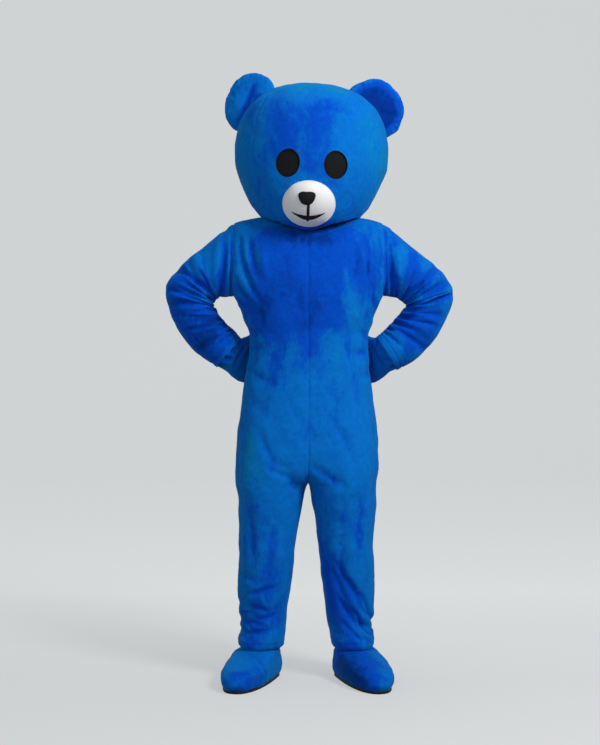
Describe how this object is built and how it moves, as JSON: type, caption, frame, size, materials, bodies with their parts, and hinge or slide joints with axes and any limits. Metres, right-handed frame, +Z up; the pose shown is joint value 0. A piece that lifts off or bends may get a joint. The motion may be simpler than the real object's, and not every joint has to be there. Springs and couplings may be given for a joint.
{
  "type": "bear mascot costume",
  "caption": "Full-body plush bear costume worn hands on hips: big hollow head with round ears, one-piece suit, mitts and plush boots",
  "frame": {"origin": "where the wearer's shoulders hold the costume up: in the middle plane, level with the shoulder tips", "axes": "+Z up, -Y the way the bear faces, +X towards the bear's own left arm, which the picture shows on the right"},
  "size_m": [0.914, 0.4511, 1.9254],
  "materials": {
    "blue_plush": "short-pile plush with a soft sheen",
    "muzzle_plush": "short pale plush",
    "black_trim": "dull black felt",
    "eye_mesh": "dull black see-through mesh",
    "sole": "matt black foam rubber",
    "zip_tape": "navy woven tape",
    "zip_metal": "satin"
  },
  "bodies": {
    "costume": {"boot_left_sole": "sole", "boot_left_upper": "blue_plush", "boot_right_sole": "sole", "boot_right_upper": "blue_plush", "ear_left_back": "blue_plush", "ear_left_front": "blue_plush", "ear_right_back": "blue_plush", "ear_right_front": "blue_plush", "eye_left": "eye_mesh", "eye_right": "eye_mesh", "glove_left": "blue_plush", "glove_right": "blue_plush", "head_back": "blue_plush", "head_face": "blue_plush", "head_side_left": "blue_plush", "head_side_right": "blue_plush", "mouth": "black_trim", "muzzle": "muzzle_plush", "nose": "black_trim", "sleeve_left": "blue_plush", "sleeve_right": "blue_plush", "suit_back_left": "blue_plush", "suit_back_right": "blue_plush", "suit_front_left": "blue_plush", "suit_front_right": "blue_plush", "zip_slider": "zip_metal", "zip_tape": "zip_tape"},
    "pull": {"zip_pull": "zip_metal"}
  },
  "joints": [
    {"name": "zip_pull_hinge", "type": "hinge", "parent": "costume", "child": "pull", "pos_m": [0, 0.13445, -0.07499], "axis": [1, 0, 0], "range_deg": [0, 150]}
  ]
}
